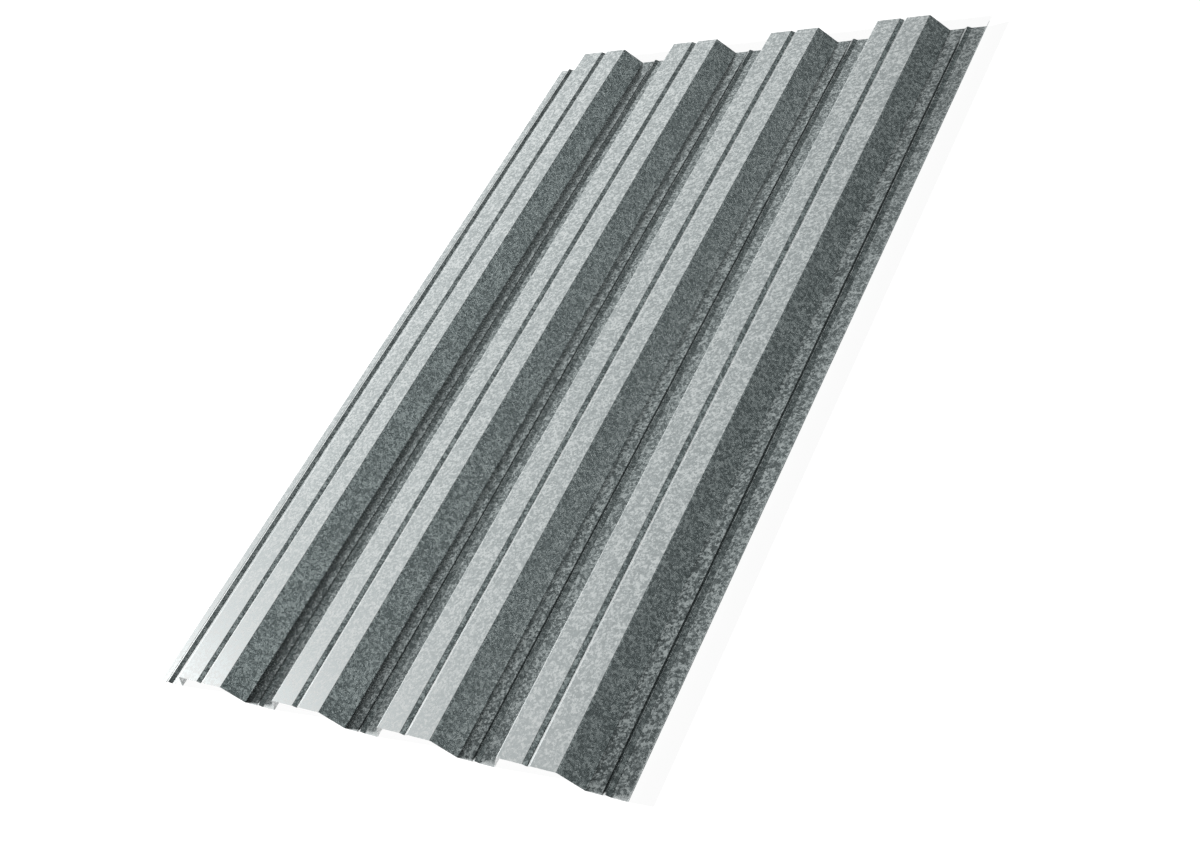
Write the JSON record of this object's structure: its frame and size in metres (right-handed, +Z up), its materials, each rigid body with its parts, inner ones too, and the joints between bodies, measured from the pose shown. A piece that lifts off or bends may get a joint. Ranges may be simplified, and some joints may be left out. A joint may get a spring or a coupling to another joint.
{
  "type": "profiled steel sheet",
  "caption": "Galvanised steel roofing and cladding sheet with trapezoidal crests, a V groove along each crest, a V bead along each trough and a turned-up lap edge.",
  "frame": {"origin": "middle of the sheet's box, at the level of the undersides of its troughs", "axes": "X across the crests towards the turned-up edge, Y along the sheet, Z up out of the crests"},
  "size_m": [1.072, 1.7, 0.0417],
  "materials": {
    "galvanised_steel": "hot-dip galvanised, fine spangle, semi-matt"
  },
  "bodies": {
    "root": {"profiled_sheet": "galvanised_steel"}
  },
  "joints": []
}
